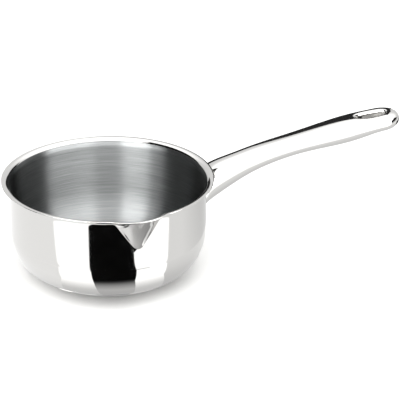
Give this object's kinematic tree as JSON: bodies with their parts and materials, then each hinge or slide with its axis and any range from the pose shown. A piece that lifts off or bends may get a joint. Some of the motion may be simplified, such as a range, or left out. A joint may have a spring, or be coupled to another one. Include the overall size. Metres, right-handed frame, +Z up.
{
  "type": "saucepan",
  "caption": "Small stainless steel saucepan with a round belly, turned-out rim, side pouring lip, capped heat-spreading base and a hollow welded handle with a hanging slot.",
  "frame": {"origin": "middle of the base's flat underside, where the pan stands on the hob", "axes": "+Z up, +X along the handle, the pouring lip points to -Y within 2 degrees"},
  "size_m": [0.296, 0.1562, 0.0982],
  "materials": {
    "pan_steel": "18/10 stainless steel, mirror polished outside, satin brushed inside",
    "base_steel": "ferritic stainless steel, turned satin underside",
    "handle_steel": "18/10 stainless steel, mirror polished",
    "saddle_steel": "stainless steel, as pressed",
    "spreader_aluminium": "rolled aluminium"
  },
  "bodies": {
    "root": {"pan_body": "pan_steel", "heat_spreader": "spreader_aluminium", "base_cap": "base_steel", "handle_saddle": "saddle_steel", "handle_upper_shell": "handle_steel", "handle_lower_shell": "handle_steel"}
  },
  "joints": []
}
